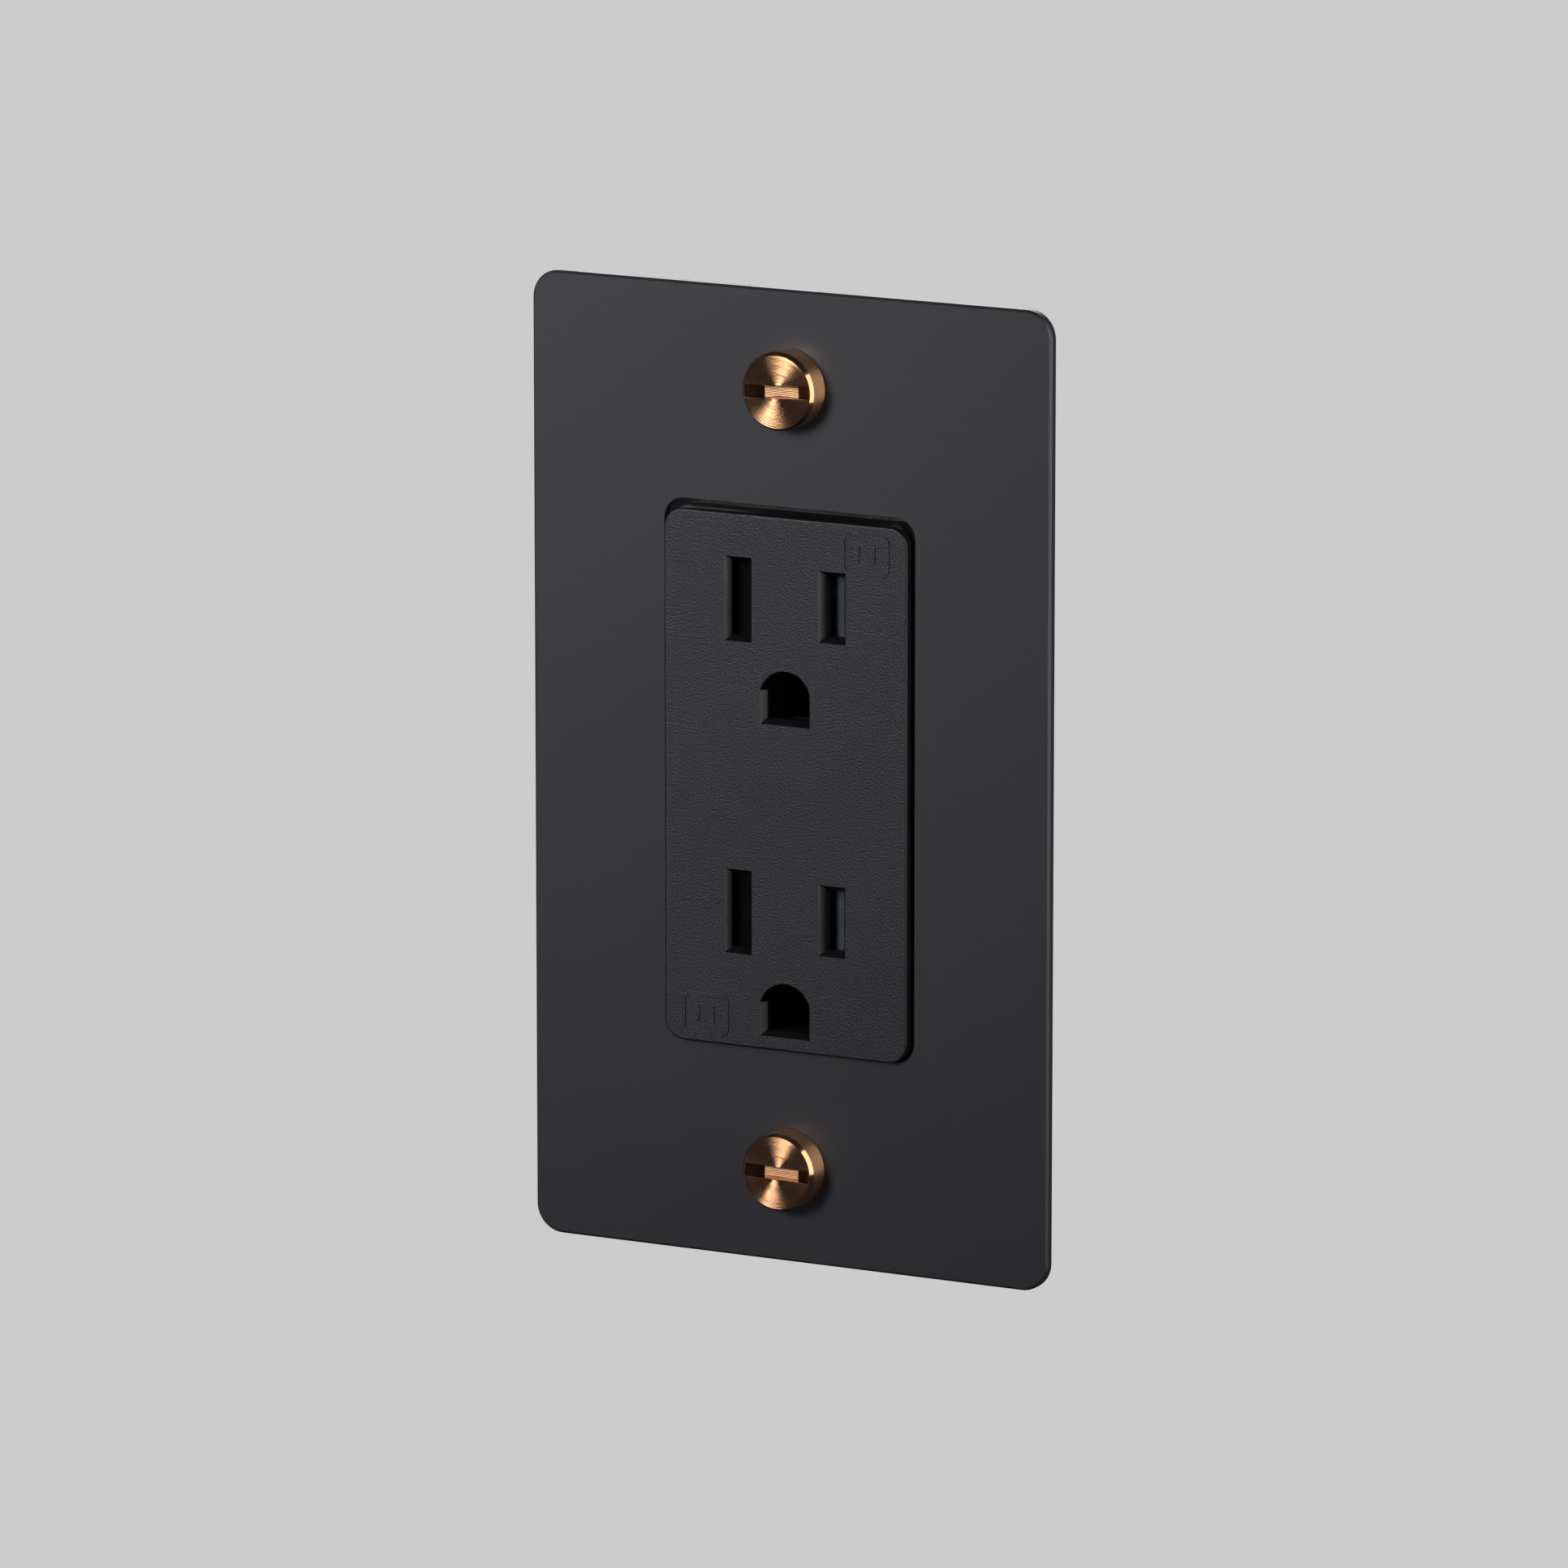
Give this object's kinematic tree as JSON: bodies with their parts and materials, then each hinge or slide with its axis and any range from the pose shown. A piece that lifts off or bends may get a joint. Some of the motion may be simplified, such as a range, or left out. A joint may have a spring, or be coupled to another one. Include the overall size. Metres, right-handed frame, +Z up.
{
  "type": "duplex wall outlet",
  "caption": "Black duplex wall outlet: flat metal wall plate with copper coin-head screws, rectangular face and shuttered sockets, on a steel strap with its back body.",
  "frame": {"origin": "centre of the two box-screw holes, on the strap's rear face, which seats on the outlet box", "axes": "+Z up the plate, +Y into the wall, +X to the right as seen from the room"},
  "size_m": [0.0698, 0.0342, 0.1206],
  "materials": {
    "plate_black": "matte, very fine horizontal grain",
    "cover_black": "fine moulded texture",
    "shutter_blue": "moulded translucent look",
    "shutter_brown": "moulded",
    "carrier_plastic": "moulded",
    "copper_turned": "turned and polished copper",
    "zinc_steel": "zinc plated",
    "body_black": "moulded thermoplastic",
    "contact_brass": "stamped",
    "terminal_brass": "bright",
    "terminal_nickel": "nickel plated",
    "earth_green": "green dyed plating",
    "spring_steel": "drawn wire",
    "fibre_red": "vulcanised fibre",
    "bronze_clip": "spring bronze"
  },
  "bodies": {
    "device": {"faceplate": "plate_black", "face_cover": "cover_black", "strap": "zinc_steel", "back_body": "body_black", "hot_contact_bar": "contact_brass", "neutral_contact_bar": "contact_brass", "earth_bus": "contact_brass", "earth_bus_rivets": "zinc_steel", "assembly_screws": "zinc_steel", "screw_retainer": "fibre_red", "self_earthing_clip": "bronze_clip", "shutter_carrier_top": "carrier_plastic", "hot_spring_top": "spring_steel", "neutral_spring_top": "spring_steel", "shutter_carrier_bottom": "carrier_plastic", "hot_spring_bottom": "spring_steel", "neutral_spring_bottom": "spring_steel"},
    "coin_screw_top": {"coin_screw_top": "copper_turned"},
    "box_screw_top": {"box_screw_top": "zinc_steel"},
    "hot_shutter_top": {"hot_shutter_top": "shutter_blue"},
    "neutral_shutter_top": {"neutral_shutter_top": "shutter_brown"},
    "hot_terminal_screw_top": {"hot_terminal_screw_top": "terminal_brass"},
    "neutral_terminal_screw_top": {"neutral_terminal_screw_top": "terminal_nickel"},
    "coin_screw_bottom": {"coin_screw_bottom": "copper_turned"},
    "box_screw_bottom": {"box_screw_bottom": "zinc_steel"},
    "hot_shutter_bottom": {"hot_shutter_bottom": "shutter_blue"},
    "neutral_shutter_bottom": {"neutral_shutter_bottom": "shutter_brown"},
    "hot_terminal_screw_bottom": {"hot_terminal_screw_bottom": "terminal_brass"},
    "neutral_terminal_screw_bottom": {"neutral_terminal_screw_bottom": "terminal_nickel"},
    "earth_screw": {"earth_screw": "earth_green"}
  },
  "joints": [
    {"name": "coin_screw_top_turn", "type": "hinge", "parent": "device", "child": "coin_screw_top", "pos_m": [0, -0.0067, 0.04842], "axis": [0, -1, 0], "continuous": true},
    {"name": "box_screw_top_turn", "type": "hinge", "parent": "device", "child": "box_screw_top", "pos_m": [0, 0, 0.04167], "axis": [0, -1, 0], "continuous": true},
    {"name": "hot_terminal_top_turn", "type": "hinge", "parent": "device", "child": "hot_terminal_screw_top", "pos_m": [0.0134, 0.01, 0.0135], "axis": [1, 0, 0], "continuous": true},
    {"name": "neutral_terminal_top_turn", "type": "hinge", "parent": "device", "child": "neutral_terminal_screw_top", "pos_m": [-0.0134, 0.01, 0.0135], "axis": [-1, 0, 0], "continuous": true},
    {"name": "hot_shutter_top_slide", "type": "slide", "parent": "device", "child": "hot_shutter_top", "axis": [1, 0, 0], "range_m": [0, 0.0036], "stiffness_N_per_m": 60, "springref_m": -0.0015, "deforming": ["hot_spring_top"]},
    {"name": "neutral_shutter_top_slide", "type": "slide", "parent": "device", "child": "neutral_shutter_top", "axis": [-1, 0, 0], "range_m": [0, 0.0036], "stiffness_N_per_m": 60, "springref_m": -0.0015, "deforming": ["neutral_spring_top"]},
    {"name": "coin_screw_bottom_turn", "type": "hinge", "parent": "device", "child": "coin_screw_bottom", "pos_m": [0, -0.0067, -0.04842], "axis": [0, -1, 0], "continuous": true},
    {"name": "box_screw_bottom_turn", "type": "hinge", "parent": "device", "child": "box_screw_bottom", "pos_m": [0, 0, -0.04167], "axis": [0, -1, 0], "continuous": true},
    {"name": "hot_terminal_bottom_turn", "type": "hinge", "parent": "device", "child": "hot_terminal_screw_bottom", "pos_m": [0.0134, 0.01, -0.0135], "axis": [1, 0, 0], "continuous": true},
    {"name": "neutral_terminal_bottom_turn", "type": "hinge", "parent": "device", "child": "neutral_terminal_screw_bottom", "pos_m": [-0.0134, 0.01, -0.0135], "axis": [-1, 0, 0], "continuous": true},
    {"name": "hot_shutter_bottom_slide", "type": "slide", "parent": "device", "child": "hot_shutter_bottom", "axis": [1, 0, 0], "range_m": [0, 0.0036], "stiffness_N_per_m": 60, "springref_m": -0.0015, "deforming": ["hot_spring_bottom"]},
    {"name": "neutral_shutter_bottom_slide", "type": "slide", "parent": "device", "child": "neutral_shutter_bottom", "axis": [-1, 0, 0], "range_m": [0, 0.0036], "stiffness_N_per_m": 60, "springref_m": -0.0015, "deforming": ["neutral_spring_bottom"]},
    {"name": "earth_screw_turn", "type": "hinge", "parent": "device", "child": "earth_screw", "pos_m": [-0.0171, 0.0055, -0.026], "axis": [-1, 0, 0], "continuous": true}
  ],
  "couplings": [
    {"joint": "neutral_shutter_top_slide", "follows": "hot_shutter_top_slide", "ratio": 1},
    {"joint": "neutral_shutter_bottom_slide", "follows": "hot_shutter_bottom_slide", "ratio": 1}
  ]
}
